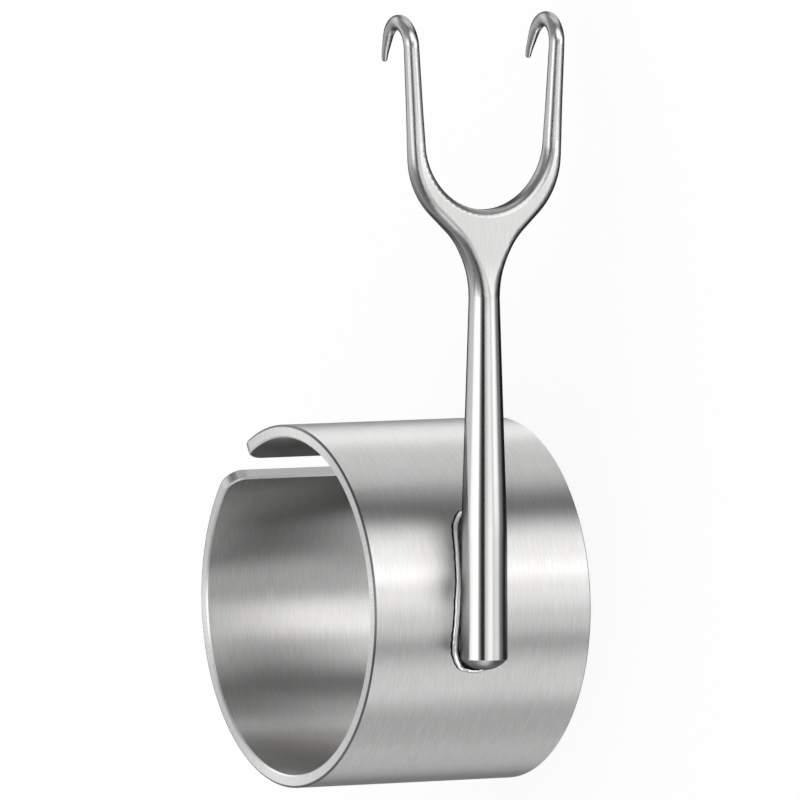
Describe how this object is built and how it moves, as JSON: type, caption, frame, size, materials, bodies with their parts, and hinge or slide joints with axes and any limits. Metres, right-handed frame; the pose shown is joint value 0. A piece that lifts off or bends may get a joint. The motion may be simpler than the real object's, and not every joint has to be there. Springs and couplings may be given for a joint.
{
  "type": "finger ring surgical retractor",
  "caption": "Open steel finger ring with a two-pronged skin hook brazed across its outside: round shank, flat flared fork, splayed prongs curled into blunt hooks.",
  "frame": {"origin": "centre of the finger bore, at the lower end face of the band that the part stands on", "axes": "+Z along the finger bore, +X along the shank towards the hooks, -Y the side of the band that carries the shank"},
  "size_m": [0.046, 0.0238, 0.0146],
  "materials": {
    "band_steel": "fine brushing round the band, satin",
    "hook_steel": "polished satin, lightly brushed lengthwise",
    "braze_metal": "bright as cast braze filler"
  },
  "bodies": {
    "root": {"finger_band": "band_steel", "forked_hook": "hook_steel", "braze_fillet": "braze_metal"}
  },
  "joints": []
}
